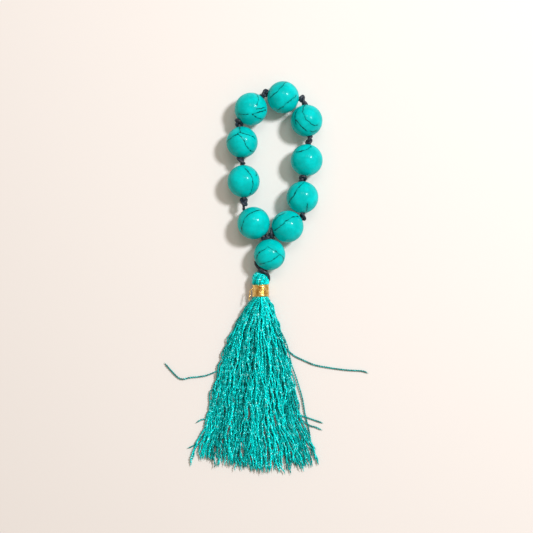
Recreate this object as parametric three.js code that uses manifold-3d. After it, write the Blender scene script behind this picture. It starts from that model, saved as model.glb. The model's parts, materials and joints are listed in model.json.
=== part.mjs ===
// Misbaha: nine stone beads on a knotted cord loop, a pendant bead and a silk tassel.
// Millimetres. It lies on the plane z = 0, with the loop towards +Y and the tassel towards -Y.
import * as THREE from 'three';
import * as BufferGeometryUtils from 'three/addons/utils/BufferGeometryUtils.js';
import Module from 'manifold-3d';

// ---- Driving dimensions ----
const beadDiameter = 12;
const boreRadius = 0.95;
const cordRadius = 0.5;
const threadRadius = 0.28;
const gap = 0.3; // between pieces that touch on the real object

const beadAroundSteps = 20;
const beadArcSteps = 9;
const facetCorner = 0.2; // a bead's corners stand this far outside its true radius
const cordSides = 8;

const beadRadius = beadDiameter / 2;
const strandHeight = beadRadius; // the bores' height above the table

// Knots are ellipsoids, thinner along the cord than across it.
const knotSize = [1.5, 1.9, 1.8];

// The loop: each row is a bead, the knot that follows it, and how far the next bead turns
// about that knot (degrees) when the loop is opened as wide as it goes.
const junction = [5.2, 16.0];
const leftRun = [
  { number: 1, bead: [-1.2, 20.9], knot: [-4.65, 29.0], nextTurn: -4.6 },
  { number: 2, bead: [-5.0, 36.8], knot: [-5.9, 44.6], nextTurn: -35.8 },
  { number: 3, bead: [-5.6, 51.6], knot: [-7.0, 58.9], nextTurn: 16.4 },
  { number: 4, bead: [-2.2, 64.2], knot: [3.1, 69.8], nextTurn: 18.6 },
];
const rightRun = [
  { number: 9, bead: [11.7, 19.6], knot: [17.4, 23.7], nextTurn: -22.9 },
  { number: 8, bead: [17.35, 30.7], knot: [17.2, 37.5], nextTurn: 26.0 },
  { number: 7, bead: [18.95, 44.8], knot: [20.0, 52.4], nextTurn: 18.3 },
  { number: 6, bead: [18.9, 59.8], knot: [17.4, 67.5], nextTurn: -8.3 },
  { number: 5, bead: [10.0, 68.7], knot: null, nextTurn: 0 },
];
const firstTurns = { left: 14.8, right: -3.6 };
const loopLift = 20; // degrees

// The pendant bead and its cord.
const pendantBead = [4.9, 8.9];
const pendantBore = new THREE.Vector3(0.23, 0.97, 0).normalize();
const pendantSwing = 2; // degrees each way, until it meets the loop's first or last bead
const pendantCordUp = 5.6;
const pendantCordDown = 4.9;
const junctionKnot = { centre: [6.0, 17.3], size: [1.6, 1.5, 1.8] };
const pendantKnot = { centre: [3.7, 15.0], size: [1.0, 0.9, 1.4] };

// The tassel's axis runs along -Y at this place and height.
const tasselX = 1.45;
const tasselHeight = 3.4;
const tasselKnot = { centre: [1.5, 2.4, 4.6], size: [3.0, 1.2, 1.7], slope: -36 };
const tasselLift = { pivot: [1.6, 2.6, 4.6], degrees: 45 };
const tasselSwing = { pivot: [tasselX, 2.0, tasselHeight], degrees: 12 }; // each way
const headTop = 1.3;
const headRadius = 3.3;
const neckRadius = 2.6;
const bandTop = -2.4;
const bandTurns = 9;
const bandPitch = 0.56;
const bandWall = 0.2; // in the valleys between turns
const bandRidge = 0.3; // a turn's height above the valleys
const bandLength = bandTurns * bandPitch;
const neckEnd = bandTop - bandLength - gap;
const tieBoreDepth = 4.2;

// Skirt sections from the band to the ragged ends: place along Y, left and right edges, and the
// heights of the top, of the widest level and of the bottom.
const skirtSections = [
  { y: neckEnd - gap, left: -1.55, right: 4.45, top: 6.4, middle: 3.4, bottom: 0.4 },
  { y: -12, left: -4.5, right: 6.3, top: 6.2, middle: 1.6, bottom: 0 },
  { y: -18, left: -8.0, right: 8.2, top: 5.4, middle: 0, bottom: 0 },
  { y: -26, left: -11.9, right: 10.3, top: 4.6, middle: 0, bottom: 0 },
  { y: -36, left: -14.5, right: 13.0, top: 3.9, middle: 0, bottom: 0 },
  { y: -48, left: -17.0, right: 14.9, top: 3.3, middle: 0, bottom: 0 },
  { y: -60, left: -20.6, right: 18.0, top: 2.8, middle: 0, bottom: 0 },
  { y: -69, left: -23.8, right: 21.0, top: 2.3, middle: 0, bottom: 0 },
];
const skirtEnd = -74.8; // of the longest threads, in the middle
const skirtEndRise = 5.0; // how much shorter the threads at the two edges are
const skirtAround = 32;
const raggedDepth = 0.5;
const raggedWaves = 9; // radians of the ragged edge's wave over half the width

// Two loose threads that lie on the table beside the tassel.
const looseThreadHeight = 0.3;
const looseThreads = {
  stray_thread_left: [
    [-15.4, -35.8], [-19.2, -37.4], [-22.4, -38.0], [-25.6, -38.3],
    [-28.4, -38.9], [-30.3, -38.3], [-33.1, -35.5], [-35.6, -32.6],
  ],
  stray_thread_right: [
    [12.4, -28.3], [14.9, -30.2], [17.6, -31.5], [22.1, -33.4],
    [27.7, -34.5], [34.4, -35.4], [40.5, -35.8], [42.9, -36.7],
  ],
};

// ---- Materials ----
const materials = {
  stone: new THREE.MeshStandardMaterial({ color: 0x00b8b0, roughness: 0.25, metalness: 0 }),
  cord: new THREE.MeshStandardMaterial({ color: 0x1a1f28, roughness: 0.7, metalness: 0 }),
  silk: new THREE.MeshStandardMaterial({ color: 0x0fa59c, roughness: 0.45, metalness: 0 }),
  gold: new THREE.MeshStandardMaterial({ color: 0xc89a3c, roughness: 0.3, metalness: 1 }),
};

// ---- Solid helpers ----
const wasm = await Module();
wasm.setup();

function solidOf(geometry) {
  const bare = geometry.index ? geometry.clone() : geometry;
  bare.deleteAttribute('normal');
  bare.deleteAttribute('uv');
  const merged = BufferGeometryUtils.mergeVertices(bare, 1e-4);
  return new wasm.Manifold(new wasm.Mesh({
    numProp: 3,
    vertProperties: new Float32Array(merged.attributes.position.array),
    triVerts: new Uint32Array(merged.index.array),
  }));
}

function geometryOf(solid) {
  const mesh = solid.getMesh();
  const geometry = new THREE.BufferGeometry();
  geometry.setAttribute('position', new THREE.BufferAttribute(mesh.vertProperties, 3));
  geometry.setIndex(new THREE.BufferAttribute(mesh.triVerts, 1));
  return geometry;
}

function piece(name, geometry, material) {
  const mesh = new THREE.Mesh(geometry, material);
  mesh.name = name;
  return mesh;
}

// ---- Shape helpers ----
const onStrand = ([x, y]) => new THREE.Vector3(x, y, strandHeight);

function circle(radius, sides) {
  const shape = new THREE.Shape();
  for (let i = 0; i < sides; i += 1) {
    const angle = (i / sides) * 2 * Math.PI;
    const point = [radius * Math.cos(angle), radius * Math.sin(angle)];
    if (i === 0) shape.moveTo(...point);
    else shape.lineTo(...point);
  }
  shape.closePath();
  return shape;
}

function tube(points, radius, steps) {
  const extrudePath = new THREE.CatmullRomCurve3(points, false, 'centripetal');
  const options = { steps, bevelEnabled: false, extrudePath };
  return new THREE.ExtrudeGeometry(circle(radius, cordSides), options);
}

function ellipsoid(centre, halfSizes, turn) {
  const geometry = new THREE.SphereGeometry(1, 12, 8);
  geometry.rotateX(Math.PI / 2);
  geometry.scale(...halfSizes);
  geometry.rotateZ(turn);
  geometry.translate(centre.x, centre.y, centre.z);
  return geometry;
}

function beadSpace(centre) {
  const geometry = new THREE.SphereGeometry(beadRadius + facetCorner + gap, 24, 16);
  geometry.translate(centre.x, centre.y, centre.z);
  return solidOf(geometry);
}

function turned(point, pivot, axis, degrees) {
  const moved = point.clone().sub(pivot);
  moved.applyAxisAngle(axis, THREE.MathUtils.degToRad(degrees));
  return moved.add(pivot);
}

// Every place of a bead that turns about a pivot, from rest to its limit.
function sweep(point, pivot, axis, degrees) {
  return [0, 0.5, 1].map((share) => turned(point, pivot, axis, share * degrees));
}

function cutAwayBeads(geometry, beadCentres) {
  let solid = solidOf(geometry);
  for (const centre of beadCentres) solid = solid.subtract(beadSpace(centre));
  return solid;
}

// ---- Beads ----
// A sphere with a bore, revolved about Y. Its facets' middles lie on the true radius, so that it
// stands on a small flat and its bore is at its centre's height.
function beadGeometry() {
  const mouth = Math.asin(boreRadius / beadRadius);
  const arcStep = (Math.PI - 2 * mouth) / beadArcSteps;
  const facetShrink = Math.cos(Math.PI / beadAroundSteps) * Math.cos(arcStep / 2);
  const radius = beadRadius / facetShrink;
  const profile = [];
  for (let i = 0; i <= beadArcSteps; i += 1) {
    const angle = mouth + i * arcStep;
    profile.push(new THREE.Vector2(radius * Math.sin(angle), -radius * Math.cos(angle)));
  }
  profile[0].x = boreRadius;
  profile[beadArcSteps].x = boreRadius;
  profile.push(profile[0].clone());
  return new THREE.LatheGeometry(profile, beadAroundSteps, Math.PI / beadAroundSteps);
}

function makeBead(name, centre, boreDirection) {
  const bead = piece(name, beadGeometry(), materials.stone);
  bead.position.copy(centre);
  bead.rotation.z = Math.atan2(boreDirection.y, boreDirection.x) - Math.PI / 2;
  return bead;
}

// ---- The loop's cord, in one length for each bead with the knot that follows it ----
function makeCordLength(row, from, nextBead) {
  const bead = onStrand(row.bead);
  const to = onStrand(row.knot ?? leftRun.at(-1).knot);
  const along = to.clone().sub(from).normalize();
  const route = [-1, -0.4, 0.4, 1].map((share) => (
    bead.clone().addScaledVector(along, share * beadRadius)));
  if (!row.knot) return { geometry: tube(route, cordRadius, 8), along, to };
  const cord = solidOf(tube([...route, to], cordRadius, 12));
  const onward = onStrand(nextBead).sub(bead);
  const knot = cutAwayBeads(
    ellipsoid(to, knotSize, Math.atan2(onward.y, onward.x)),
    [bead, ...sweep(onStrand(nextBead), to, new THREE.Vector3(0, 0, 1), row.nextTurn)],
  );
  return { geometry: geometryOf(cord.add(knot)), along, to };
}

function makeRun(rows, beadAfterRun) {
  const pieces = [];
  let from = onStrand(junction);
  rows.forEach((row, i) => {
    const nextBead = i + 1 < rows.length ? rows[i + 1].bead : beadAfterRun;
    const { geometry, along, to } = makeCordLength(row, from, nextBead);
    pieces.push(piece(`cord_${row.number}`, geometry, materials.cord));
    pieces.push(makeBead(`bead_${row.number}`, onStrand(row.bead), along));
    from = to;
  });
  return pieces;
}

// ---- Junction and pendant ----
function makeJunction() {
  const pivot = onStrand(junction);
  const up = new THREE.Vector3(0, 0, 1);
  const across = new THREE.Vector3(1, 0, 0);
  const first = onStrand(leftRun[0].bead);
  const last = onStrand(rightRun[0].bead);
  const pendant = onStrand(pendantBead);
  const loopBeads = [
    ...sweep(first, pivot, up, firstTurns.left),
    ...sweep(last, pivot, up, firstTurns.right),
  ];
  const pendantPlaces = [
    ...sweep(pendant, pivot, up, pendantSwing),
    ...sweep(pendant, pivot, up, -pendantSwing),
  ];
  const upper = cutAwayBeads(
    ellipsoid(onStrand(junctionKnot.centre), junctionKnot.size, 0),
    [...loopBeads, ...sweep(pendant, pivot, across, -loopLift)],
  );
  const lower = cutAwayBeads(
    ellipsoid(onStrand(pendantKnot.centre), pendantKnot.size, 0),
    [...pendantPlaces, ...sweep(first, pivot, across, loopLift), ...loopBeads],
  );
  return [
    piece('junction_knot', geometryOf(upper), materials.cord),
    piece('pendant_knot', geometryOf(lower), materials.cord),
  ];
}

function makePendant() {
  const centre = onStrand(pendantBead);
  const route = [pendantCordUp, 2, -2, -pendantCordDown].map((distance) => (
    centre.clone().addScaledVector(pendantBore, distance)));
  return [
    makeBead('bead_pendant', centre, pendantBore),
    piece('pendant_cord', tube(route, cordRadius, 6), materials.cord),
  ];
}

// ---- Tassel ----
function turnedAlongTassel(profile, around) {
  const geometry = new THREE.LatheGeometry(profile, around);
  geometry.translate(tasselX, 0, tasselHeight);
  return geometry;
}

// The knot leaves room for the pendant bead as the tassel lifts, and for the head as it swings.
function makeTasselKnot() {
  const centre = new THREE.Vector3(...tasselKnot.centre);
  const slope = THREE.MathUtils.degToRad(tasselKnot.slope);
  const liftPivot = new THREE.Vector3(...tasselLift.pivot);
  const across = new THREE.Vector3(1, 0, 0);
  let knot = cutAwayBeads(
    ellipsoid(centre, tasselKnot.size, slope),
    sweep(onStrand(pendantBead), liftPivot, across, tasselLift.degrees),
  );
  const head = new THREE.Vector3(tasselX, headTop - headRadius, tasselHeight);
  const swingPivot = new THREE.Vector3(...tasselSwing.pivot);
  const up = new THREE.Vector3(0, 0, 1);
  for (const turn of [-1, -0.5, 0, 0.5, 1]) {
    const space = new THREE.SphereGeometry(headRadius + gap, 24, 16);
    space.translate(...turned(head, swingPivot, up, turn * tasselSwing.degrees).toArray());
    knot = knot.subtract(solidOf(space));
  }
  return piece('tassel_knot', geometryOf(knot), materials.cord);
}

function makeTasselHead() {
  const bore = cordRadius + gap;
  const domeCentre = headTop - headRadius;
  const profile = [
    new THREE.Vector2(0, neckEnd),
    new THREE.Vector2(neckRadius, neckEnd),
    new THREE.Vector2(neckRadius, domeCentre - 0.1),
  ];
  for (let degrees = 0; degrees <= 75; degrees += 15) {
    const angle = THREE.MathUtils.degToRad(degrees);
    const x = headRadius * Math.cos(angle);
    profile.push(new THREE.Vector2(x, domeCentre + headRadius * Math.sin(angle)));
  }
  profile.push(new THREE.Vector2(bore, headTop));
  profile.push(new THREE.Vector2(bore, headTop - tieBoreDepth));
  profile.push(new THREE.Vector2(0, headTop - tieBoreDepth));
  return piece('tassel_head', turnedAlongTassel(profile, 24), materials.silk);
}

function makeTasselCord() {
  const start = new THREE.Vector3(tasselX, headTop - gap, tasselHeight);
  const end = new THREE.Vector3(tasselX, headTop - tieBoreDepth + gap, tasselHeight);
  return piece('tassel_cord', tube([start, end], cordRadius, 5), materials.cord);
}

// The band is one gold thread wound in touching turns.
function makeBand() {
  const inner = neckRadius + gap;
  const valley = inner + bandWall;
  const crest = valley + bandRidge;
  const profile = [new THREE.Vector2(inner, bandTop - bandLength)];
  for (let i = 0; i < bandTurns; i += 1) {
    const start = bandTop - bandLength + i * bandPitch;
    profile.push(new THREE.Vector2(valley, start));
    profile.push(new THREE.Vector2(crest, start + bandPitch / 2));
  }
  profile.push(new THREE.Vector2(valley, bandTop));
  profile.push(new THREE.Vector2(inner, bandTop));
  profile.push(profile[0].clone());
  return piece('gold_band', turnedAlongTassel(profile, 20), materials.gold);
}

function makeBandTail() {
  const route = [
    new THREE.Vector3(-2.55, -4.4, 4.2),
    new THREE.Vector3(-2.7, -5.8, 4.4),
    new THREE.Vector3(-2.8, -7.2, 4.7),
    new THREE.Vector3(-3.0, -8.7, 5.2),
  ];
  return piece('gold_tail', tube(route, threadRadius, 6), materials.gold);
}

// A closed cylinder is reshaped, ring by ring, into the fan of hanging threads.
function makeSkirt() {
  const rings = skirtSections.length;
  const geometry = new THREE.CylinderGeometry(1, 1, 1, skirtAround, rings);
  const position = geometry.attributes.position;
  const point = new THREE.Vector3();
  for (let i = 0; i < position.count; i += 1) {
    point.fromBufferAttribute(position, i);
    const ring = Math.round((0.5 - point.y) * rings);
    const section = skirtSections[Math.min(ring, rings - 1)];
    const side = point.x;
    const rise = point.z;
    const half = (section.right - section.left) / 2;
    const ragged = raggedDepth * Math.cos(raggedWaves * side);
    const end = skirtEnd + skirtEndRise * side * side + ragged;
    const reach = rise >= 0 ? section.top - section.middle : section.middle - section.bottom;
    const roundness = section.middle === 0 ? 0.7 : 1; // flatter where the threads lie on the table
    const lift = Math.sign(rise) * Math.abs(rise) ** roundness * reach;
    position.setXYZ(
      i,
      section.left + half + side * half,
      ring < rings ? section.y : end,
      section.middle + lift,
    );
  }
  return piece('tassel_skirt', geometry, materials.silk);
}

function makeLooseThread(name) {
  const route = looseThreads[name].map(([x, y]) => new THREE.Vector3(x, y, looseThreadHeight));
  return piece(name, tube(route, threadRadius, 20), materials.silk);
}

// ---- Assembly ----
const misbaha = new THREE.Group();
misbaha.add(
  ...makeRun(leftRun, rightRun.at(-1).bead),
  ...makeRun(rightRun, leftRun.at(-1).bead),
  ...makeJunction(),
  ...makePendant(),
  makeTasselKnot(),
  makeTasselHead(),
  makeTasselCord(),
  makeBand(),
  makeBandTail(),
  makeSkirt(),
  ...Object.keys(looseThreads).map(makeLooseThread),
);

export default misbaha;
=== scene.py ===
"""Looks for the misbaha: stone beads, knotted cord, gold-bound silk tassel, on a pale floor."""
import json
import math

import bpy
import numpy as np
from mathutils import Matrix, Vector


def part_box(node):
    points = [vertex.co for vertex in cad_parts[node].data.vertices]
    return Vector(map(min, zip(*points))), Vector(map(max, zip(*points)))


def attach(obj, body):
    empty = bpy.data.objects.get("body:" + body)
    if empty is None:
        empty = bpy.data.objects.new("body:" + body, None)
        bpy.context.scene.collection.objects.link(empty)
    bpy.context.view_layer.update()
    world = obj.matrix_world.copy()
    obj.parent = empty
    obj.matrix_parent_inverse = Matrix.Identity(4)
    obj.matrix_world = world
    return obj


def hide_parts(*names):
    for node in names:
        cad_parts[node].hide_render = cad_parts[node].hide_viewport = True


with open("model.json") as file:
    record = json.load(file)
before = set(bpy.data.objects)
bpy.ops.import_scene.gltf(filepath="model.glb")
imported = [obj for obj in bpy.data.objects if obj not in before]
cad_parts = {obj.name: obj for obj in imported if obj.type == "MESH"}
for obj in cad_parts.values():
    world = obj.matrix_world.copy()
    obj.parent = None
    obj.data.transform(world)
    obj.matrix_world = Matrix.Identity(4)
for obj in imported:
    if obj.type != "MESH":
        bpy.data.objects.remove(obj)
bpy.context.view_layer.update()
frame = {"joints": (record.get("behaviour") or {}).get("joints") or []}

# ---- Driving dimensions, in millimetres; meshes are scaled to metres as they are made ----
MM = 0.001
BEAD_RADIUS = 6.0
# Stone beads differ a little in size: USUAL_STONE is the radius of those that STONE_RADII leaves out.
USUAL_STONE = 6.1
STONE_RADII = {"bead_1": 6.2, "bead_2": 6.18, "bead_3": 6.0, "bead_4": 6.25, "bead_pendant": 6.0}
BORE_RADIUS = 0.85
CORD_RADIUS = 0.53
THREAD_RADIUS = 0.34
GOLD_RADIUS = 0.29
ROUTE_STEP = 0.1
VIEW_WIDTH = 202.5
VIEW_CENTRE = (3.7, 4.4)
LENS = 80.0
SENSOR = 36.0

rng = np.random.default_rng(7)


def joint_named(name):
    return next(j for j in frame["joints"] if j["name"] == name)


def place_of(name):
    """A joint's pivot, in millimetres."""
    return np.array(joint_named(name)["pos_m"]) / MM


def middle_of(node):
    """The middle of a CAD node's box, in millimetres."""
    low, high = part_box(node)
    return (np.array(low) + np.array(high)) / 2 / MM


def unit(v):
    v = np.asarray(v, float)
    return v / np.linalg.norm(v)


# ---- Camera ----
def make_camera():
    """The camera looks straight down on the table, VIEW_WIDTH wide at the height of the beads' middle."""
    data = bpy.data.cameras.new("camera")
    data.lens = LENS
    data.sensor_width = SENSOR
    camera = bpy.data.objects.new("camera", data)
    height = VIEW_WIDTH * LENS / SENSOR + BEAD_RADIUS
    camera.location = Vector((*VIEW_CENTRE, height)) * MM
    bpy.context.scene.collection.objects.link(camera)
    bpy.context.scene.camera = camera


make_camera()
bpy.context.scene.view_settings.view_transform = "Standard"


# ---- Meshes from arrays ----
class Shape:
    """Points and faces that grow part by part, with one value per point for each attribute."""

    def __init__(self):
        self.points, self.faces, self.values = [], [], {}
        self.count = 0

    def add(self, points, faces, **values):
        self.points.append(points)
        self.faces += [np.asarray(f) + self.count for f in faces]
        for key, value in values.items():
            self.values.setdefault(key, []).append(np.broadcast_to(value, len(points)))
        self.count += len(points)

    def object(self, name, material, centre=(0, 0, 0)):
        points = np.concatenate(self.points) * MM
        corners = np.concatenate([f.ravel() for f in self.faces]).astype(np.int32)
        sizes = np.concatenate([np.full(len(f), f.shape[1]) for f in self.faces])
        starts = np.concatenate([[0], np.cumsum(sizes)[:-1]]).astype(np.int32)
        mesh = bpy.data.meshes.new(name)
        mesh.vertices.add(len(points))
        mesh.vertices.foreach_set("co", points.ravel().astype(np.float32))
        mesh.loops.add(len(corners))
        mesh.loops.foreach_set("vertex_index", corners)
        mesh.polygons.add(len(sizes))
        mesh.polygons.foreach_set("loop_start", starts)
        mesh.polygons.foreach_set("use_smooth", np.ones(len(sizes), bool))
        mesh.update(calc_edges=True)
        for key, value in self.values.items():
            attribute = mesh.attributes.new(key, "FLOAT", "POINT")
            attribute.data.foreach_set("value", np.concatenate(value).astype(np.float32))
        mesh.materials.append(material)
        piece = bpy.data.objects.new(name, mesh)
        piece.location = Vector(centre) * MM
        bpy.context.scene.collection.objects.link(piece)
        return piece


def resample(path, step):
    """The same path with its points at even distances of about one step."""
    path = np.asarray(path, float)
    lengths = np.concatenate([[0], np.cumsum(np.linalg.norm(np.diff(path, axis=0), axis=1))])
    at = np.linspace(0, lengths[-1], max(3, int(round(lengths[-1] / step)) + 1))
    return np.stack([np.interp(at, lengths, path[:, k]) for k in range(3)], axis=1)


SPAN_POINTS = 16


def smooth_curve(points, step):
    """A Catmull-Rom curve through the points, at even steps."""
    p = np.asarray(points, float)
    p = np.concatenate([[2 * p[0] - p[1]], p, [2 * p[-1] - p[-2]]])
    t = np.linspace(0, 1, SPAN_POINTS, endpoint=False)[:, None]
    parts = []
    for a, b, c, d in zip(p[:-3], p[1:-2], p[2:-1], p[3:]):
        parts.append(
            0.5 * (2 * b + (c - a) * t + (2 * a - 5 * b + 4 * c - d) * t**2
                   + (3 * b - a - 3 * c + d) * t**3)
        )
    return resample(np.concatenate([*parts, p[-2:-1]]), step)


NEARLY_UPRIGHT = 0.1


def frames_along(path):
    """Two unit vectors across the path at each point, carried along it without twist."""
    tangents = np.gradient(path, axis=0)
    tangents /= np.linalg.norm(tangents, axis=1)[:, None]
    first = np.cross(tangents[0], (0, 0, 1))
    if np.linalg.norm(first) < NEARLY_UPRIGHT:
        first = np.cross(tangents[0], (0, 1, 0))
    normals = [unit(first)]
    for tangent in tangents[1:]:
        normal = normals[-1] - tangent * (normals[-1] @ tangent)
        normals.append(unit(normal))
    normals = np.array(normals)
    return normals, np.cross(tangents, normals)


def sweep(shape, path, radii, angles, **values):
    """A closed tube. radii and angles have a row for each point of the path."""
    across, over = frames_along(path)
    rings, sides = radii.shape
    x, y = radii * np.cos(angles), radii * np.sin(angles)
    points = path[:, None] + x[..., None] * across[:, None] + y[..., None] * over[:, None]
    index = np.arange(rings * sides).reshape(rings, sides)
    after = np.roll(index, -1, axis=1)
    quads = np.stack([index[:-1], after[:-1], after[1:], index[1:]], axis=-1).reshape(-1, 4)
    low, high = rings * sides, rings * sides + 1
    ends = np.concatenate([
        np.stack([after[0], index[0], np.full(sides, low)], axis=1),
        np.stack([index[-1], after[-1], np.full(sides, high)], axis=1),
    ])
    points = np.concatenate([points.reshape(-1, 3), path[:1], path[-1:]])
    shape.add(points, [quads, ends], **values)


# ---- Threads and cords ----
# A two-ply thread's section: two round plies side by side, PLY_OFFSET of a ply's radius from its middle.
PLY_OFFSET = 0.9
PLY_ANGLES = np.radians([0, 38, 90, 142, 180, 218, 270, 322])
PLY_PROFILE = PLY_OFFSET * np.abs(np.cos(PLY_ANGLES)) + np.sqrt(
    1 - (PLY_OFFSET * np.sin(PLY_ANGLES)) ** 2
)
PLY_PROFILE /= PLY_PROFILE.max()
# 0 in the valleys between the plies and 1 on their tops; the silk colour uses it to paint shade into the
# valleys.
PLY_RIDGE = (PLY_PROFILE - PLY_PROFILE.min()) / np.ptp(PLY_PROFILE)
END_RIDGE = 0.5
TIP_LENGTH = 0.05
TIP_SIZE = 0.25


def add_thread(shape, path, radius, pitch, taper=0.0, turn=0.0, **values):
    """A thread of two plies twisted together, as one tube with a turning two-lobed section."""
    rings = len(path)
    step = np.linalg.norm(np.diff(path, axis=0), axis=1).mean()
    twist = turn + np.arange(rings) * step / pitch * 2 * math.pi
    size = np.full(rings, radius)
    if taper:
        to_end = np.arange(rings)[::-1] * step
        size = size * np.clip((to_end + TIP_LENGTH) / taper, TIP_SIZE, 1)
    radii = size[:, None] * PLY_PROFILE[None]
    ridge = np.concatenate([np.tile(PLY_RIDGE, rings), [END_RIDGE, END_RIDGE]])
    sweep(shape, path, radii, PLY_ANGLES[None] + twist[:, None], ridge=ridge, **values)


BRAID_SIDES = 20
BRAID_STRANDS = 4
BRAID_PITCH = 2.6
BRAID_STEP = 0.11
BRAID_CORE = 0.93
BRAID_RELIEF = 0.09


def add_braid(shape, path):
    """A round braided cord, whose crossing strands stand out of its surface."""
    path = resample(path, BRAID_STEP)
    step = np.linalg.norm(np.diff(path, axis=0), axis=1).mean()
    run = np.arange(len(path))[:, None] * step * 2 * math.pi / BRAID_PITCH
    around = np.linspace(0, 2 * math.pi, BRAID_SIDES, endpoint=False)[None]
    one = np.cos(BRAID_STRANDS * (around + run / 2))
    other = np.cos(BRAID_STRANDS * (around - run / 2))
    relief = np.maximum(one, other)
    radii = CORD_RADIUS * (BRAID_CORE + BRAID_RELIEF * relief)
    sweep(shape, path, radii, np.broadcast_to(around, radii.shape))


# ---- Materials ----
class Nodes:
    """A material's node tree, with short calls to add and join nodes."""

    def __init__(self, name):
        self.material = bpy.data.materials.new(name)
        self.material.use_nodes = True
        self.tree = self.material.node_tree
        self.surface = self.tree.nodes["Principled BSDF"]

    def set(self, **values):
        for key, value in values.items():
            self.surface.inputs[key.replace("_", " ")].default_value = value

    def add(self, kind, inputs=None, **settings):
        node = self.tree.nodes.new(kind)
        for key, value in settings.items():
            setattr(node, key, value)
        for key, value in (inputs or {}).items():
            self.feed(node.inputs[key], value)
        return node

    def feed(self, socket, value):
        if isinstance(value, bpy.types.NodeSocket):
            self.tree.links.new(value, socket)
        else:
            socket.default_value = value

    def math(self, operation, a, b, clamp=False):
        return self.add("ShaderNodeMath", {0: a, 1: b}, operation=operation, use_clamp=clamp).outputs[0]

    def vector(self, operation, a, b=(0, 0, 0)):
        return self.add("ShaderNodeVectorMath", {0: a, 1: b}, operation=operation).outputs[0]

    def scaled(self, vector, factor):
        inputs = {0: vector, "Scale": factor}
        return self.add("ShaderNodeVectorMath", inputs, operation="SCALE").outputs[0]

    def noise(self, where, scale, detail, roughness=0.55):
        inputs = {"Vector": where, "Scale": scale, "Detail": detail, "Roughness": roughness}
        return self.add("ShaderNodeTexNoise", inputs)

    def wander(self, where, size, scale, detail, roughness=0.55):
        """A noise that moves a point by up to half the size each way."""
        colour = self.noise(where, scale, detail, roughness).outputs["Color"]
        return self.scaled(self.vector("SUBTRACT", colour, (0.5, 0.5, 0.5)), size)

    def span(self, value, low, high, to_low=0.0, to_high=1.0):
        """A smooth step: to_low below low, to_high above high."""
        inputs = {0: value, 1: low, 2: high, 3: to_low, 4: to_high}
        return self.add("ShaderNodeMapRange", inputs, interpolation_type="SMOOTHSTEP").outputs[0]

    def blend(self, share, a, b):
        """The colour a where share is 0, and b where it is 1."""
        node = self.add("ShaderNodeMix", data_type="RGBA")
        self.feed(node.inputs[0], share)
        for socket, value in ((node.inputs[6], a), (node.inputs[7], b)):
            self.feed(socket, value if isinstance(value, bpy.types.NodeSocket) else (*value, 1))
        return node.outputs[2]

    def bump(self, height, strength, distance):
        """A bump of height 0 to 1 that stands distance out, in metres."""
        inputs = {"Height": height, "Strength": strength, "Distance": distance}
        return self.add("ShaderNodeBump", inputs).outputs[0]

    def attribute(self, name):
        return self.add("ShaderNodeAttribute", attribute_name=name).outputs["Fac"]

    def finish(self, colour, roughness=None, normal=None):
        self.feed(self.surface.inputs["Base Color"], colour)
        if roughness is not None:
            self.feed(self.surface.inputs["Roughness"], roughness)
        if normal is not None:
            self.feed(self.surface.inputs["Normal"], normal)
        return self.material


def vein_group():
    """A node group for one stretch of vein on the unit sphere.

    It gives the smaller of the distance so far and a point's distance to the stretch.
    """
    group = bpy.data.node_groups.new("vein_stretch", "ShaderNodeTree")
    for name, kind in (("Point", "NodeSocketVector"), ("Start", "NodeSocketVector"),
                       ("Along", "NodeSocketVector"), ("Scale", "NodeSocketFloat"),
                       ("Before", "NodeSocketFloat")):
        group.interface.new_socket(name, in_out="INPUT", socket_type=kind)
    group.interface.new_socket("Nearest", in_out="OUTPUT", socket_type="NodeSocketFloat")
    nodes, links = group.nodes, group.links
    given, result = nodes.new("NodeGroupInput"), nodes.new("NodeGroupOutput")

    def vector(operation, *inputs):
        node = nodes.new("ShaderNodeVectorMath")
        node.operation = operation
        for socket, value in zip(node.inputs, inputs):
            links.new(value, socket)
        return node

    away = vector("SUBTRACT", given.outputs["Point"], given.outputs["Start"]).outputs[0]
    dot = vector("DOT_PRODUCT", away, given.outputs["Along"]).outputs["Value"]
    share = nodes.new("ShaderNodeMath")
    share.operation, share.use_clamp = "MULTIPLY", True
    links.new(dot, share.inputs[0])
    links.new(given.outputs["Scale"], share.inputs[1])
    part = nodes.new("ShaderNodeVectorMath")
    part.operation = "SCALE"
    links.new(given.outputs["Along"], part.inputs[0])
    links.new(share.outputs[0], part.inputs["Scale"])
    foot = vector("ADD", given.outputs["Start"], part.outputs[0]).outputs[0]
    foot = vector("NORMALIZE", foot).outputs[0]
    distance = vector("DISTANCE", given.outputs["Point"], foot).outputs["Value"]
    smaller = nodes.new("ShaderNodeMath")
    smaller.operation = "MINIMUM"
    links.new(distance, smaller.inputs[0])
    links.new(given.outputs["Before"], smaller.inputs[1])
    links.new(smaller.outputs[0], result.inputs[0])
    return group


VEIN_STRETCH = vein_group()
TURQUOISE = (0.0, 0.44, 0.44)
TURQUOISE_LIGHT = (0.0, 0.575, 0.585)
TURQUOISE_DEEP = (0.0, 0.29, 0.27)
VEIN_COLOUR = (0.0, 0.020, 0.019)
FAR_FROM_VEINS = 2.0


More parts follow.
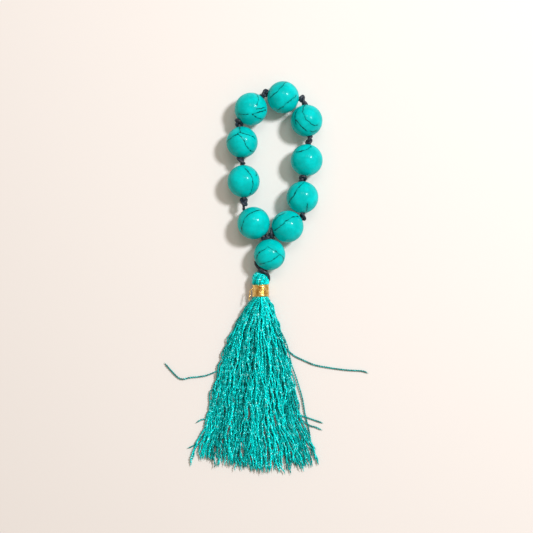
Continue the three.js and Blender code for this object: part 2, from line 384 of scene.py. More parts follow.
def stone_material(name, veins, seed):
    """Dyed howlite: clouded turquoise, darker in its grain and beside its black veins."""
    n = Nodes(name)
    n.set(IOR=1.38, Specular_IOR_Level=0.04, Coat_Weight=0.13, Coat_Roughness=0.085)
    here = n.add("ShaderNodeTexCoord").outputs["Object"]
    point = n.scaled(here, 1 / (BEAD_RADIUS * MM))
    shifted = n.vector("ADD", point, (seed * 3.7, seed * 1.3, seed * 2.1))
    broad = n.wander(shifted, 0.16, 4.0, 3.0)
    fine = n.wander(shifted, 0.105, 21.0, 4.0, 0.7)
    wandering = n.vector("NORMALIZE", n.vector("ADD", n.vector("ADD", point, broad), fine))
    nearest = FAR_FROM_VEINS
    for vein in veins:
        for start, end in zip(vein[:-1], vein[1:]):
            along = end - start
            group = n.add("ShaderNodeGroup", node_tree=VEIN_STRETCH)
            for key, value in (("Point", wandering), ("Start", start), ("Along", along),
                               ("Scale", 1 / (along @ along)), ("Before", nearest)):
                n.feed(group.inputs[key], value)
            nearest = group.outputs[0]
    width = n.span(n.noise(shifted, 5.0, 2.0).outputs[0], 0.3, 0.7, 0.015, 0.042)
    line = n.math("SUBTRACT", 1.0, n.span(n.math("DIVIDE", nearest, width), 0.45, 1.35))
    strength = n.span(n.noise(shifted, 7.0, 4.0).outputs[0], 0.3, 0.56, 0.4, 1.0)
    line = n.math("MULTIPLY", line, strength)
    halo = n.span(nearest, 0.02, 0.2, 0.22, 0.0)
    cloud = n.noise(shifted, 1.7, 5.0, 0.6).outputs[0]
    colour = n.blend(n.span(cloud, 0.35, 0.68), TURQUOISE, TURQUOISE_LIGHT)
    grain = n.noise(shifted, 11.0, 6.0, 0.65).outputs[0]
    colour = n.blend(n.span(grain, 0.52, 0.78, 0.0, 0.45), colour, TURQUOISE_DEEP)
    colour = n.blend(halo, colour, TURQUOISE_DEEP)
    colour = n.blend(line, colour, VEIN_COLOUR)
    roughness = n.span(grain, 0.3, 0.8, 0.24, 0.36)
    dip = n.math("SUBTRACT", n.math("MULTIPLY", grain, 0.25), line)
    return n.finish(colour, roughness, n.bump(dip, 0.25, 0.00005))


def cord_material():
    """Waxed black-blue cord, with paler fibres where it is rubbed."""
    n = Nodes("waxed_cord")
    n.set(IOR=1.5, Sheen_Weight=0.15, Sheen_Roughness=0.4, Sheen_Tint=(0.5, 0.75, 1.0, 1))
    here = n.add("ShaderNodeTexCoord").outputs["Object"]
    fibres = n.noise(here, 9000.0, 3.0).outputs[0]
    patches = n.noise(here, 900.0, 2.0).outputs[0]
    colour = n.blend(n.span(patches, 0.3, 0.7), (0.004, 0.008, 0.016), (0.014, 0.025, 0.044))
    colour = n.blend(n.span(fibres, 0.55, 0.75, 0.0, 0.6), colour, (0.05, 0.08, 0.11))
    roughness = n.span(patches, 0.3, 0.7, 0.38, 0.58)
    return n.finish(colour, roughness, n.bump(fibres, 0.4, 0.00006))


def silk_material(name, dark, light, painted_glint_colour, metallic):
    """Lustrous rayon: each thread has its own tone, with painted shade between its plies and painted glints
    in patches.
    """
    n = Nodes(name)
    n.set(IOR=1.5, Metallic=metallic, Specular_IOR_Level=0.1)
    here = n.add("ShaderNodeTexCoord").outputs["Object"]
    # Streaks along the threads: tone that varies at random, and partly painted sparkle. They also set the
    # roughness and where the painted glints go.
    streaks_and_sparkle = n.noise(here, 850.0, 2.0).outputs[0]
    # Painted shade: the colour is darkened to three tenths in the valleys between the plies, where shade
    # would fall.
    tops = n.span(n.attribute("ridge"), 0.0, 0.8)
    own = n.math("MULTIPLY", n.attribute("shade"), 0.92)
    tone_and_painted_shade = n.math("ADD", own, n.span(streaks_and_sparkle, 0.36, 0.62, 0.0, 0.35))
    tone_and_painted_shade = n.math("MULTIPLY", tone_and_painted_shade, n.math("ADD", n.math("MULTIPLY", tops, 0.7), 0.3), clamp=True)
    colour = n.blend(tone_and_painted_shade, dark, light)
    # Painted glints: pale patches blended into the colour on the ply tops, stronger where the thread is
    # lighter.
    patches = n.span(streaks_and_sparkle, 0.56, 0.74, 0.0, 0.9)
    painted_glint_share = n.math("MULTIPLY", patches, n.math("MULTIPLY", tone_and_painted_shade, tops))
    colour = n.blend(painted_glint_share, colour, painted_glint_colour)
    fibres = n.noise(here, 14000.0, 2.0).outputs[0]
    roughness = n.span(streaks_and_sparkle, 0.3, 0.7, 0.38, 0.24)
    return n.finish(colour, roughness, n.bump(fibres, 0.3, 0.00004))


def gold_material():
    """Metal thread: foil over a core, a little uneven in colour and gloss."""
    n = Nodes("gold_thread")
    n.set(Metallic=1.0)
    here = n.add("ShaderNodeTexCoord").outputs["Object"]
    foil = n.noise(here, 3500.0, 2.0).outputs[0]
    patches = n.noise(here, 700.0, 2.0).outputs[0]
    colour = n.blend(n.span(patches, 0.3, 0.7), (0.62, 0.36, 0.08), (0.98, 0.74, 0.30))
    roughness = n.span(foil, 0.3, 0.7, 0.16, 0.34)
    return n.finish(colour, roughness, n.bump(foil, 0.5, 0.00008))


CORD = cord_material()
# Each silk's dark and light ends of its tone, and the colour of its painted glints.
SILK = silk_material(
    "silk_threads", dark=(0.0, 0.075, 0.068), light=(0.0, 1.0, 1.0), painted_glint_colour=(0.45, 1.0, 1.0), metallic=0.3,
)
# The head's core and neck are painted dark, as the shade between and under the threads over them.
SILK_CORE_PAINTED_SHADE = silk_material(
    "silk_core_painted_shade", dark=(0.0, 0.04, 0.036), light=(0.0, 0.12, 0.11), painted_glint_colour=(0.0, 0.16, 0.15), metallic=0.1,
)
GOLD = gold_material()


def put(piece, body, slot, *nodes):
    """Rides a piece on its body and hides the CAD nodes it stands for. The slot is not used."""
    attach(piece, body)
    if nodes:
        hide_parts(*nodes)
    return piece


# ---- Loose threads: each is hidden in the skirt first, then lies on the table ----
LOOSE_THREADS = {
    "stray_thread_left": {
        "hidden": [(-10.2, -26.0, 3.0), (-12.4, -30.6, 2.4), (-13.9, -34.0, 1.3)],
        "shown": [
            (-15.4, -35.8), (-19.2, -37.4), (-22.4, -38.0), (-25.6, -38.3),
            (-28.4, -38.9), (-30.3, -38.3), (-33.1, -35.5), (-35.6, -32.6),
        ],
    },
    "stray_thread_right": {
        "hidden": [(5.8, -16.4, 4.6), (8.0, -21.4, 3.6), (10.6, -26.2, 1.6)],
        "shown": [
            (12.4, -28.3), (14.9, -30.2), (17.6, -31.5), (22.1, -33.4),
            (27.7, -34.5), (34.4, -35.4), (40.5, -35.8), (42.9, -36.7),
        ],
    },
}
LOOSE_HEIGHT = 0.34
LOOSE_PITCH = 1.9
LOOSE_TAPER = 1.2


def make_loose_threads():
    for name, route in LOOSE_THREADS.items():
        shown = [(x, y, LOOSE_HEIGHT) for x, y in route["shown"]]
        path = smooth_curve([*route["hidden"], *shown], 0.25)
        shape = Shape()
        add_thread(shape, path, THREAD_RADIUS, LOOSE_PITCH, taper=LOOSE_TAPER, shade=0.2)
        piece = shape.object(f"{name}_silk", SILK)
        put(piece, "tassel", "silk", name)


make_loose_threads()


# ---- Beads ----
def on_sphere(x, y):
    """The point of the unit sphere's upper half that is seen at x, y from above."""
    return unit((x, y, math.sqrt(1 - x * x - y * y)))


# Each bead's dark veins, seen from above, as points in bead radii from its centre.
VEINS = {
    "bead_1": [
        [(0.65, 0.71), (0.32, 0.75), (0.0, 0.66), (-0.35, 0.44), (-0.59, 0.15), (-0.69, -0.21),
         (-0.72, -0.56)],
    ],
    "bead_2": [
        [(0.09, 0.74), (0.29, 0.51), (0.49, 0.25), (0.58, -0.04), (0.59, -0.33), (0.49, -0.62),
         (0.38, -0.86)],
        [(0.72, 0.59), (0.81, 0.39), (0.78, 0.28)],
    ],
    "bead_3": [
        [(-0.13, 0.93), (-0.11, 0.57), (-0.32, 0.4), (-0.71, 0.16), (-0.95, -0.04)],
        [(-0.08, 0.52), (0.16, 0.42), (0.48, 0.38), (0.74, 0.25), (0.84, 0.13)],
        [(-0.26, 0.42), (-0.03, 0.22), (0.16, -0.04), (0.26, -0.3), (0.48, -0.54), (0.74, -0.65)],
    ],
    "bead_4": [
        [(0.22, 0.95), (0.42, 0.73), (0.46, 0.5), (0.39, 0.21), (0.33, 0.07)],
        [(0.36, -0.12), (0.71, -0.04), (0.88, 0.04)],
        [(0.91, -0.09), (0.59, -0.24), (0.1, -0.44), (0.22, -0.55), (0.74, -0.63)],
        [(-0.74, -0.38), (-0.33, -0.41), (-0.16, -0.42)],
    ],
    "bead_5": [
        [(0.37, 0.92), (0.11, 0.83), (-0.08, 0.52), (-0.45, 0.15), (-0.85, -0.15)],
        [(0.82, 0.03), (0.51, -0.25), (0.14, -0.52), (-0.38, -0.86)],
    ],
    "bead_6": [
        [(-0.02, 0.98), (-0.23, 0.71), (-0.26, 0.41), (-0.08, -0.02), (0.23, -0.32), (0.44, -0.41),
         (0.65, -0.36)],
        [(-0.53, 0.68), (-0.68, 0.47), (-0.73, 0.17), (-0.68, -0.29)],
        [(-0.68, -0.02), (-0.38, -0.41), (0.02, -0.74)],
        [(0.2, -0.71), (0.35, -0.77), (0.59, -0.68)],
    ],
    "bead_7": [
        [(0.27, 0.82), (0.09, 0.64), (-0.15, 0.53), (-0.48, 0.45), (-0.7, 0.45)],
    ],
    "bead_8": [
        [(0.11, 0.91), (-0.11, 0.72), (-0.29, 0.51), (-0.48, 0.2), (-0.6, -0.02), (-0.85, -0.38)],
        [(0.26, -0.45), (0.23, -0.88)],
    ],
    "bead_9": [
        [(0.65, 0.6), (0.37, 0.58), (0.06, 0.42), (-0.25, 0.17), (-0.52, -0.08), (-0.86, -0.26)],
        [(-0.18, 0.82), (-0.49, 0.66), (-0.71, 0.51), (-0.89, 0.17)],
    ],
    "bead_pendant": [
        [(-0.1, 0.48), (0.11, 0.34), (0.39, 0.21), (0.59, 0.03), (0.87, -0.24), (0.77, -0.59)],
        [(-0.2, 0.41), (-0.34, 0.28), (-0.65, 0.14), (-0.79, -0.1), (-0.79, -0.55)],
        [(-0.65, -0.62), (-0.27, -0.52), (0.18, -0.34), (0.46, -0.14), (0.59, 0.02)],
    ],
}
HIDDEN_VEINS = 3
HIDDEN_STRETCHES = 4
HIDDEN_STRETCH = 0.4
HIDDEN_TURN = 0.45
HIDDEN_TOP = -0.1


def hidden_veins(random):
    """Veins on the underside, each a wandering walk."""
    veins = []
    for _ in range(HIDDEN_VEINS):
        point = unit((*random.uniform(-0.8, 0.8, 2), -0.5))
        heading = unit(np.cross(point, random.normal(size=3)))
        vein = [point]
        for _ in range(HIDDEN_STRETCHES):
            heading = unit(heading + HIDDEN_TURN * random.normal(size=3))
            point = unit(point + HIDDEN_STRETCH * heading)
            if point[2] > HIDDEN_TOP:
                break
            vein.append(point)
        if len(vein) > 1:
            veins.append(vein)
    return veins


MOUTH_EDGE = 0.28
# The mouth's worn rim, from outside in: how much wider than the bore, and how far below the ball's edge.
MOUTH_RIM = [(0.16, 0.02), (0.05, 0.12), (0.0, 0.32)]
BALL_ROWS, BORE_ROWS, BEAD_SIDES = 60, 8, 96
BORE_START = 1.0
# Points further out than BALL_SHARE of the radius are on the ball's surface, and swell and shrink a little.
BALL_SHARE = 0.97
SHRINK = 0.004
SWELL = 0.0035
SWELL_WAVES = 1.4


def bead_shape(axis, radius, random):
    """A slightly uneven ball around a bore with worn, rounded mouths."""
    axis = unit(axis)
    side = unit(np.cross(axis, (0, 0, 1)))
    up = np.cross(side, axis)
    mouth = math.asin((BORE_RADIUS + MOUTH_EDGE) / radius)
    arc = np.linspace(mouth, math.pi - mouth, BALL_ROWS)
    outer = np.stack([radius * np.sin(arc), radius * np.cos(arc)], axis=1)
    lip = radius * math.cos(mouth)
    rim = [(BORE_RADIUS + wider, lip - below) for wider, below in MOUTH_RIM]
    depths = np.linspace(lip - BORE_START, BORE_START - lip, BORE_ROWS)
    bore = [*rim, *[(BORE_RADIUS, d) for d in depths], *[(r, -h) for r, h in rim[::-1]]]
    profile = np.concatenate([outer[::-1], np.array(bore)])
    around = np.linspace(0, 2 * math.pi, BEAD_SIDES, endpoint=False)
    spin = np.cos(around)[:, None] * side + np.sin(around)[:, None] * up
    points = profile[:, None, 0:1] * spin[None] + profile[:, None, 1:2] * axis
    waves = random.normal(size=(3, 3)) * SWELL_WAVES
    phase = random.uniform(0, 6, 3)
    swell = np.sin((points / radius) @ waves.T + phase).sum(axis=-1, keepdims=True)
    on_ball = np.linalg.norm(points, axis=-1, keepdims=True) > radius * BALL_SHARE
    points = np.where(on_ball, points * (1 - SHRINK + SWELL * swell / 3), points)
    rows, columns = points.shape[:2]
    index = np.arange(rows * columns).reshape(rows, columns)
    below = np.roll(index, -1, axis=0)
    quads = np.stack([index, np.roll(index, -1, axis=1), np.roll(below, -1, axis=1), below], axis=-1)
    shape = Shape()
    shape.add(points.reshape(-1, 3), [quads.reshape(-1, 4)])
    return shape


def make_bead(node, joint):
    """A stone bead, turning with its joint. Each has its own unevenness, seeded by its name."""
    random = np.random.default_rng(sum(map(ord, node)))
    veins = [[on_sphere(x, y) for x, y in vein] for vein in VEINS[node]] + hidden_veins(random)
    material = stone_material(f"stone_{node}", veins, float(random.uniform(0, 9)))
    radius = STONE_RADII.get(node, USUAL_STONE)
    shape = bead_shape(joint_named(joint)["axis"], radius, random)
    piece = shape.object(f"stone_{node}", material, middle_of(node))
    body = joint_named(joint)["child"]
    put(piece, body, "stone", node)


LEFT_RUN = [1, 2, 3, 4]
RIGHT_RUN = [9, 8, 7, 6, 5]
for number in LEFT_RUN + RIGHT_RUN:
    make_bead(f"bead_{number}", f"turn_bead_{number}")
make_bead("bead_pendant", "turn_bead_pendant")


# ---- Knots ----
# The relaxation that tightens the knot, in cord diameters.
KNOT_POINTS = 110
KNOT_ROUNDS = 1400
KNOT_END = 4.2
KNOT_STEP = 0.17
KNOT_SIZE = 0.55
SMOOTHING = 0.35
PUSHING = 0.22
SPREAD_EVERY = 10
# Points nearer than this along the cord are neighbours and don't push each other away.
NEIGHBOURS = 1.7


def tight_knot():
    """An overhand knot along X in cord of diameter 1, pulled tight by shortening it step by step."""
    t = np.linspace(-2.25, 2.25, KNOT_POINTS)
    raw = np.stack([t**3 - 3 * t, t**4 - 4 * t**2, t**5 / 5 - 2 * t], axis=1) * KNOT_SIZE
    lead = unit(raw[-1] - raw[0])
    side = unit(np.cross(lead, (0, 1, 0)))
    path = np.stack([raw @ lead, raw @ np.cross(side, lead), raw @ side], axis=1)
    path[:, 1] -= path[:, 1].mean()
    ends = np.array([[-KNOT_END, 0, 0], [KNOT_END, 0, 0]])
    path = resample(np.concatenate([ends[:1], path, ends[1:]]), KNOT_STEP)
    for turn in range(1, KNOT_ROUNDS + 1):
        path[1:-1] += SMOOTHING * ((path[:-2] + path[2:]) / 2 - path[1:-1])
        spacing = np.linalg.norm(np.diff(path, axis=0), axis=1).mean()
        gaps = path[:, None] - path[None]
        distances = np.linalg.norm(gaps, axis=2)
        order = np.arange(len(path))
        apart = np.abs(order[:, None] - order[None]) > NEIGHBOURS / spacing
        close = apart & (distances < 1.0)
        push = np.where(close, (1.0 - distances) / np.maximum(distances, 1e-6), 0.0)
        path += PUSHING * (push[..., None] * gaps).sum(axis=1)
        path[0], path[-1] = ends
        if turn % SPREAD_EVERY == 0:
            path = resample(path, KNOT_STEP)
    return path


KNOT = tight_knot()


def knot_at(centre, direction, roll, cut=(-2.2, 1.7)):
    """The tight knot's path, placed and turned, without the ends beyond the cuts."""
    direction = unit(direction)
    side = unit(np.cross((0, 0, 1), direction))
    up = np.cross(direction, side)
    first = np.argmax(KNOT[:, 0] > cut[0])
    last = len(KNOT) - np.argmax(KNOT[::-1, 0] < cut[1])
    core = KNOT[first:last] * (2 * CORD_RADIUS)
    y = core[:, 1] * math.cos(roll) - core[:, 2] * math.sin(roll)
    z = core[:, 1] * math.sin(roll) + core[:, 2] * math.cos(roll)
    return centre + core[:, :1] * direction + y[:, None] * side + z[:, None] * up


# ---- The loop's cord ----
# The loop is opened at the knot between beads 4 and 5, which rides with bead 4's cord.
OPEN_KNOT = np.array([3.1, 69.8, 6.0])
# How far each knot is rolled about the cord, in radians, by the number of the bead before it.
KNOT_ROLLS = {1: 0.4, 2: 1.3, 3: 2.6, 4: 0.9, 9: 2.0, 8: 3.6, 7: 5.1, 6: 4.2}
KNOT_LIFT = 0.3
BORE_REACH = 3


def make_run(numbers, side):
    """One length of cord for each bead, from the middle of the knot before it to the knot after it."""
    first_joint = {"left": "loop_open", "right": "right_bend_9"}[side]
    closing = middle_of("bead_5")
    for place, number in enumerate(numbers):
        axis = np.array(joint_named(f"turn_bead_{number}")["axis"])
        centre = place_of(f"turn_bead_{number}")
        start = place_of(first_joint if place == 0 else f"{side}_bend_{number}")
        entry, leave = centre - axis * BEAD_RADIUS, centre + axis * BEAD_RADIUS
        route = [start, entry, centre - axis * BORE_REACH, centre + axis * BORE_REACH, leave]
        shape = Shape()
        if number == RIGHT_RUN[-1]:
            add_braid(shape, smooth_curve([*route, OPEN_KNOT], ROUTE_STEP))
        else:
            following = numbers[place + 1] if place + 1 < len(numbers) else None
            if following is None:
                knot_place, onward = OPEN_KNOT, closing
            else:
                knot_place = place_of(f"{side}_bend_{following}")
                onward = place_of(f"turn_bead_{following}")
            knot_place = knot_place + [0, 0, KNOT_LIFT]
            onward = onward - BEAD_RADIUS * unit(onward - knot_place)
            knot = knot_at(knot_place, onward - leave, KNOT_ROLLS[number])
            add_braid(shape, np.concatenate([smooth_curve([*route, knot[0]], ROUTE_STEP)[:-1], knot]))
        piece = shape.object(f"knotted_cord_{number}", CORD)
        put(piece, f"strand_{number}", "cord", f"cord_{number}")


make_run(LEFT_RUN, "left")
make_run(RIGHT_RUN, "right")


# ---- Junction, pendant and tie ----
# Piece, node, body, place from the junction, direction and roll of each of the junction's two knots.
JUNCTION_KNOTS = [
    ("junction_knot_cord", "junction_knot", "junction", (0.75, 1.3, 0.6), (0.75, 0.65, 0), 1.0),
    ("pendant_knot_cord", "pendant_knot", "pendant_knot", (-1.7, -0.35, 0.2), (0.95, -0.3, 0), 2.4),
]


def make_junction():
    junction = place_of("loop_open")
    for name, node, body, offset, direction, roll in JUNCTION_KNOTS:
        shape = Shape()
        add_braid(shape, knot_at(junction + offset, direction, roll, cut=(-1.6, 1.6)))
        put(shape.object(name, CORD), body, "cord", node)


def make_pendant_cord():
    axis = np.array(joint_named("turn_bead_pendant")["axis"])
    centre = place_of("turn_bead_pendant")
    junction = place_of("pendant_swing")
    tie = place_of("tassel_lift")
    steps = (BEAD_RADIUS, BORE_REACH, -BORE_REACH, -BEAD_RADIUS)
    route = [junction, *[centre + axis * step for step in steps], tie]
    shape = Shape()
    add_braid(shape, smooth_curve(route, ROUTE_STEP))
    put(shape.object("pendant_strand", CORD), "pendant", "cord", "pendant_cord")


# The tie's cord, from beside the pendant bead's lower end, over the head's top, to the head's right side.
TIE_ROUTE = [
    (-0.5, 6.4, 5.2), (-0.35, 5.3, 5.3), (0.4, 4.1, 5.6), (1.6, 3.1, 6.2),
    (3.1, 2.3, 6.3), (4.2, 1.4, 5.8), (4.6, 0.4, 4.9), (4.6, -0.9, 3.6),
]
TIE_KNOT = np.array([2.2, 2.7, 5.4])


def make_tie():
    """The cord that ties the tassel on, with its knot between the pendant bead and the head."""
    shape = Shape()
    add_braid(shape, smooth_curve(TIE_ROUTE, ROUTE_STEP))
    add_braid(shape, knot_at(TIE_KNOT, (0.8, -0.58, 0), 0.7, cut=(-1.9, 1.9)))
    put(shape.object("tassel_tie_cord", CORD), "tie", "cord", "tassel_knot")


make_junction()
make_pendant_cord()
make_tie()


# ---- Tassel: its axis runs along Y ----
AXIS_X, AXIS_Z = 1.45, 3.4
HEAD_TOP = 2.5
HEAD_RADIUS = 3.1
HEAD_MIDDLE = HEAD_TOP - HEAD_RADIUS
NECK_RADIUS = 2.6
BAND_TOP, BAND_TURNS, BAND_PITCH = -2.4, 9, 0.56
BAND_END = BAND_TOP - BAND_TURNS * BAND_PITCH
ROUND_SIDES = 48
CORE_SHARE = 0.95
HEAD_THREADS = 36
HEAD_PITCH = 2.3
HEAD_SINK = 2.3
# The share of a head thread's length that lies on the dome. The rest runs down into the band.
DOME_SHARE = 0.75
GOLD_SIDES = 12


def round_piece(name, profile, material, body, node=None, **values):
    """A solid of revolution about the tassel's axis, from (radius, y) rows."""
    profile = np.array(profile)
    around = np.linspace(0, 2 * math.pi, ROUND_SIDES, endpoint=False)
    radius, y = profile[:, 0][:, None], profile[:, 1][:, None]
    points = np.stack([
        AXIS_X + radius * np.cos(around), y + 0 * around, AXIS_Z + radius * np.sin(around)
    ], axis=-1)
    index = np.arange(points.shape[0] * ROUND_SIDES).reshape(-1, ROUND_SIDES)
    after = np.roll(index, -1, axis=1)
    quads = np.stack([index[:-1], after[:-1], after[1:], index[1:]], axis=-1).reshape(-1, 4)
    shape = Shape()
    shape.add(points.reshape(-1, 3), [quads, index[:1, ::-1], index[-1:]], **values)
    piece = shape.object(name, material)
    return put(piece, body, "silk", *([node] if node else []))


def make_head():
    """The head: a core painted dark as shade, under threads that wind a little as they come down from its
    top.
    """
    core = HEAD_RADIUS * CORE_SHARE
    angles = np.linspace(math.radians(86), 0, 14)
    dome = [(core * math.cos(a), HEAD_MIDDLE + core * math.sin(a)) for a in angles]
    neck = [(2.8, -2.0), (NECK_RADIUS, -2.6), (NECK_RADIUS, BAND_END - 0.6)]
    round_piece("head_core_painted_shade", dome + neck, SILK_CORE_PAINTED_SHADE, "tassel", "tassel_head", shade=0.5, ridge=1.0)
    shape = Shape()
    for k in range(HEAD_THREADS):
        start = 2 * math.pi * k / HEAD_THREADS + rng.normal(0, 0.03)
        drift = 0.95 + rng.normal(0, 0.08)
        path = []
        for s in np.linspace(0, 1, 30):
            polar = math.radians(10 + 80 * min(1, s / DOME_SHARE))
            turn = start + drift * s
            sunk = max(0.0, s - DOME_SHARE) / (1 - DOME_SHARE)
            waist = (HEAD_RADIUS - NECK_RADIUS + 0.1) * max(0.0, sunk * 2 - 1)
            radius = HEAD_RADIUS * math.sin(polar) - waist
            y = HEAD_MIDDLE + HEAD_RADIUS * math.cos(polar) - HEAD_SINK * sunk
            path.append((AXIS_X + radius * math.cos(turn), y, AXIS_Z + radius * math.sin(turn)))
        path = smooth_curve(path, 0.3)
        turn, shade = rng.uniform(0, 6), rng.uniform(0.3, 1.3)
        add_thread(shape, path, THREAD_RADIUS * 1.1, HEAD_PITCH, turn=turn, shade=shade)
    put(shape.object("head_threads", SILK), "tassel", "silk")


# The gold thread's loose end, beside the band.
TAIL_ROUTE = [
    (-1.4, -4.2, 4.6), (-2.4, -4.5, 4.5), (-2.65, -5.8, 4.5), (-2.8, -7.2, 4.7), (-3.0, -8.7, 5.1),
]


def make_band():
    """The gold thread: wound round the neck by hand, so its turns wander a little."""
    turns = np.linspace(0, BAND_TURNS * 2 * math.pi, BAND_TURNS * 40)
    wander = 0.05 * np.sin(turns * 0.37) + 0.03 * np.sin(turns * 1.13 + 1)
    radius = NECK_RADIUS + GOLD_RADIUS + 0.05 + 0.04 * np.sin(turns * 0.71)
    width = BAND_TURNS * BAND_PITCH - 2 * GOLD_RADIUS
    y = BAND_TOP - GOLD_RADIUS - width * turns / turns[-1] + wander
    path = np.stack([AXIS_X + radius * np.cos(turns), y, AXIS_Z + radius * np.sin(turns)], axis=1)
    shape = Shape()
    path = resample(path, 0.2)
    around = np.linspace(0, 2 * math.pi, GOLD_SIDES, endpoint=False)[None]
    radii = np.full((len(path), GOLD_SIDES), GOLD_RADIUS * 1.04)
    sweep(shape, path, radii, np.repeat(around, len(path), axis=0))
    put(shape.object("gold_winding", GOLD), "tassel", "gold", "gold_band")
    shape = Shape()
    add_thread(shape, smooth_curve(TAIL_ROUTE, 0.2), GOLD_RADIUS, 1.1, taper=0.5)
    put(shape.object("gold_thread_end", GOLD), "tassel", "gold", "gold_tail")


# The fan of hanging threads: place along Y, left and right edge, height of the top.
FAN = np.array([
    (-7.6, -1.9, 4.8, 6.6),
    (-12.0, -4.6, 6.3, 6.3),
    (-16.2, -7.0, 7.7, 5.7),
    (-22.0, -10.1, 9.3, 5.0),
    (-28.2, -12.5, 10.8, 4.5),
    (-34.4, -14.2, 12.4, 4.0),
    (-41.3, -15.6, 14.0, 3.6),
    (-50.8, -17.6, 15.3, 3.2),
    (-57.8, -19.9, 17.3, 2.9),
    (-65.0, -23.4, 21.0, 2.6),
    (-75.0, -25.4, 23.6, 2.2),
])
THREADS = 210
THREAD_PIECES = 6
THREAD_STEP = 0.32
THREAD_POINTS = 90
# Threads gather in clumps: each is drawn to its nearest clump's place, more so towards its end.
CLUMPS = 21
CLUMP_PULL = 0.42
CLUMP_POWER = 1.3
# Each thread's share of the fan's width and height steps by these, which fill the fan evenly without rows.
WIDTH_STEP = 0.6180339887
HEIGHT_STEP = 0.7548776662
SKIRT_START = BAND_END + 0.8
SKIRT_END = -74.0
# How far the ends rise from the middle to the skirt's left and right edges.
LEFT_RISE, RIGHT_RISE = 6.2, 3.0
SHORT_SHARE = 0.12
THREAD_TAPER = 1.4
# A thread wanders over the fan in slow waves, and finely in a random walk, its crimp.
WAVE_COUNTS = (1, 2, 3, 5, 8)
WAVE_SIZE = 0.1
DRIFT_SIZE = 0.1
CRIMP_SIZE = 0.06
SPREAD_LIMIT = 1.03
# How much of its height the fan loses towards its edges.
EDGE_THINNING = 0.85
NECK_FILL = 0.95
NECK_FLARE_LENGTH = 1.1
GATHER_LENGTH = 4.0


def fan_at(y):
    """The fan's left edge, right edge and top at places along Y."""
    return [np.interp(-y, -FAN[:, 0], FAN[:, k]) for k in (1, 2, 3)]


def ease(share):
    """A smooth step from 0 to 1."""
    share = np.clip(share, 0, 1)
    return share * share * (3 - 2 * share)


def wobble(random, s, size, low, high):
    """A wave of a size along s, whose turns and phase are drawn at random."""
    return size * np.sin(s * random.uniform(low, high) + random.uniform(0, 6))


def thread_path(u, level, end, random, clump):
    """A thread from inside the band to its end.

    u is its place across the fan, from -1 to 1, and level its share of the fan's height.
    """
    s = np.linspace(0, 1, THREAD_POINTS)
    y = SKIRT_START + (end - SKIRT_START) * s
    left, right, top = fan_at(y)
    waves = sum(
        random.normal(0, WAVE_SIZE / k) * np.sin(k * math.pi * s + random.uniform(0, 6))
        for k in WAVE_COUNTS
    )
    drift = random.normal(0, DRIFT_SIZE) * s
    pull = (clump - u) * CLUMP_PULL * s**CLUMP_POWER
    spread = u + waves * np.minimum(1, 2.5 * s) + drift + pull
    spread = np.clip(spread, -SPREAD_LIMIT, SPREAD_LIMIT)
    x = (left + right) / 2 + spread * (right - left) / 2
    crimp = np.cumsum(random.normal(0, CRIMP_SIZE, len(s)))
    x = x + (crimp - crimp[0]) * s + wobble(random, s, 0.3, 28, 70)
    x = x + wobble(random, s, 0.13, 90, 140)
    rounding = np.sqrt(np.maximum(0.0, 1 - EDGE_THINNING * spread**2))
    lift = THREAD_RADIUS + level * (top - 2 * THREAD_RADIUS) * rounding
    lift = lift + wobble(random, s, 0.16, 20, 40)
    # Inside the band the threads fill a round neck, which flares below the band into the fan.
    tilt = (2 * level - 1) * NECK_FILL
    neck_radius = NECK_RADIUS - 0.3 + 0.65 * ease((SKIRT_START - y) / NECK_FLARE_LENGTH)
    neck_x = AXIS_X + neck_radius * u * math.sqrt(1 - tilt**2)
    neck_z = AXIS_Z + neck_radius * tilt
    gather = ease((SKIRT_START - y) / GATHER_LENGTH)
    x = neck_x * (1 - gather) + x * gather
    z = neck_z * (1 - gather) + np.maximum(lift, THREAD_RADIUS) * gather
    return np.stack([x, y, z], axis=1)


def make_skirt():
    """The hanging threads, shared out over a few pieces."""
    clumps = np.sort(rng.uniform(-0.98, 0.98, CLUMPS))
    clump_ends = rng.normal(0, 1.1, CLUMPS)
    clump_shades = rng.normal(0, 0.12, CLUMPS)
    shapes = [Shape() for _ in range(THREAD_PIECES)]
    for k in range(THREADS):
        random = np.random.default_rng(100 + k)
        u = 2 * ((k * WIDTH_STEP) % 1) - 1
        level = ((k * HEIGHT_STEP) % 1) ** 0.8
        nearest = np.argmin(np.abs(clumps - u))
        rise = -LEFT_RISE * u if u < 0 else RIGHT_RISE * u * u
        end = SKIRT_END + rise + clump_ends[nearest] + random.uniform(-0.7, 1.2)
        if random.random() < SHORT_SHARE:
            end += random.uniform(2, 7)
        path = smooth_curve(thread_path(u, level, end, random, clumps[nearest]), THREAD_STEP)
        # A thread's tone, drawn at random and per clump, times painted shade that darkens threads lower in
        # the fan to half.
        shade = random.uniform(0.05, 1.1) * (0.5 + 0.5 * level) + clump_shades[nearest]
        radius = THREAD_RADIUS * random.uniform(0.9, 1.08)
        pitch = random.uniform(1.8, 2.6)
        turn = random.uniform(0, 6)
        add_thread(
            shapes[k % THREAD_PIECES], path, radius, pitch, taper=THREAD_TAPER, turn=turn, shade=shade,
        )
    for i, shape in enumerate(shapes):
        piece = shape.object(f"skirt_threads_{i + 1}", SILK)
        put(piece, "tassel", "silk", *(["tassel_skirt"] if i == 0 else []))


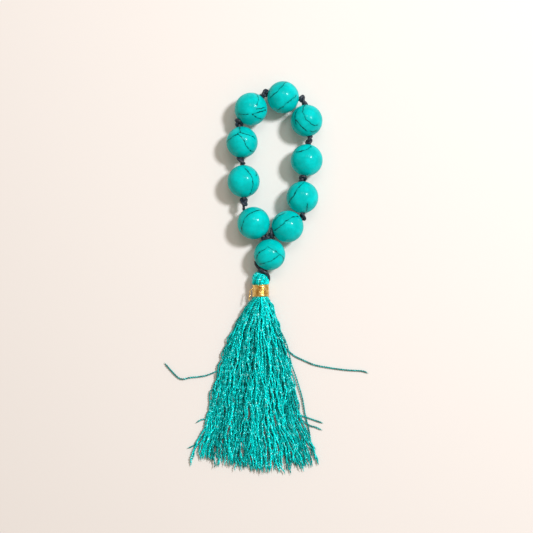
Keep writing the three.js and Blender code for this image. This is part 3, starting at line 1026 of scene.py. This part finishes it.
# Shorter threads that stand away from the skirt's sides.
SIDE_THREADS = [
    [(-14.6, -41.0, 2.2), (-16.6, -47.0, 1.4), (-17.6, -53.4, 0.6), (-21.3, -54.5, 0.3),
     (-23.6, -55.9, 0.3)],
    [(-15.6, -46.0, 2.0), (-17.3, -55.1, 1.0), (-20.6, -60.4, 0.5), (-24.0, -64.2, 0.3),
     (-26.8, -65.6, 0.3)],
    [(13.0, -44.0, 2.2), (14.6, -49.6, 1.4), (16.4, -52.4, 0.6), (20.8, -54.2, 0.3), (25.6, -55.9, 0.3)],
    [(13.4, -47.0, 2.2), (15.2, -52.4, 1.2), (19.8, -56.4, 0.4), (22.6, -57.4, 0.3), (25.2, -58.6, 0.3)],
    [(8.7, -19.5, 2.6), (11.4, -25.3, 1.8), (13.3, -33.1, 1.2), (15.3, -38.9, 0.8), (17.4, -45.9, 0.6),
     (18.6, -52.5, 0.5), (20.3, -60.0, 0.4), (21.3, -69.0, 0.4)],
    [(-15.0, -36.0, 2.0), (-15.6, -41.3, 1.2), (-18.0, -43.8, 0.7), (-18.0, -48.4, 0.7),
     (-17.2, -52.5, 1.2)],
]


def make_side_threads():
    shape = Shape()
    for route in SIDE_THREADS:
        path = smooth_curve(route, 0.3)
        add_thread(shape, path, THREAD_RADIUS, LOOSE_PITCH, taper=LOOSE_TAPER, shade=0.25)
    put(shape.object("side_threads", SILK), "tassel", "silk")


def make_hanging_loop():
    """The tassel's cord inside its head, under the tie."""
    shape = Shape()
    inside = [(AXIS_X, y, AXIS_Z) for y in (0.9, -1.0, -2.8)]
    add_braid(shape, smooth_curve([(2.6, 2.0, 4.0), *inside], ROUTE_STEP))
    put(shape.object("hanging_loop", CORD), "tassel", "cord", "tassel_cord")


make_head()
make_band()
make_skirt()
make_side_threads()
make_hanging_loop()


# ---- Floor and light: sizes here are in metres ----
FLOOR_SIZE = 4
LIGHT_DISTANCE = 0.9
WHITE = (1.0, 1.0, 1.0)
WARM_WHITE = (1.0, 0.985, 0.96)
ROOM_COLOUR = (1.0, 0.82, 0.65, 1)
ROOM_STRENGTH = 0.47
FLOOR_COLOUR = (0.745, 0.725, 0.72, 1)


def make_floor():
    """The floor lies just under the largest stone, which stands a little proud of its CAD bead."""
    below = max(STONE_RADII.values()) - BEAD_RADIUS
    bpy.ops.mesh.primitive_plane_add(size=FLOOR_SIZE, location=(0, 0, -below * MM))
    floor = bpy.context.object
    floor.name = "floor"
    n = Nodes("pale_floor")
    n.set(Roughness=0.75, Specular_IOR_Level=0.15)
    floor.data.materials.append(n.finish(FLOOR_COLOUR))


def make_light(name, direction, distance, size, power, colour):
    """A rectangle of light that shines at the origin from a direction."""
    data = bpy.data.lights.new(name, "AREA")
    data.shape = "RECTANGLE"
    data.size, data.size_y = size
    data.energy = power
    data.color = colour
    light = bpy.data.objects.new(name, data)
    light.location = Vector(direction).normalized() * distance
    light.rotation_euler = Vector(direction).to_track_quat("Z", "Y").to_euler()
    bpy.context.scene.collection.objects.link(light)


def make_world():
    """The room's warm light from all round, which fills the shadows."""
    world = bpy.data.worlds.new("room")
    world.use_nodes = True
    background = world.node_tree.nodes["Background"]
    background.inputs["Color"].default_value = ROOM_COLOUR
    background.inputs["Strength"].default_value = ROOM_STRENGTH
    bpy.context.scene.world = world


make_floor()
make_light("window_key", (0.49, 0.34, 0.80), LIGHT_DISTANCE, (0.15, 0.12), power=7.4, colour=WHITE)
make_light("window_fill", (0.05, 0.45, 0.89), LIGHT_DISTANCE, (0.35, 0.2), power=1.0, colour=WARM_WHITE)
make_world()
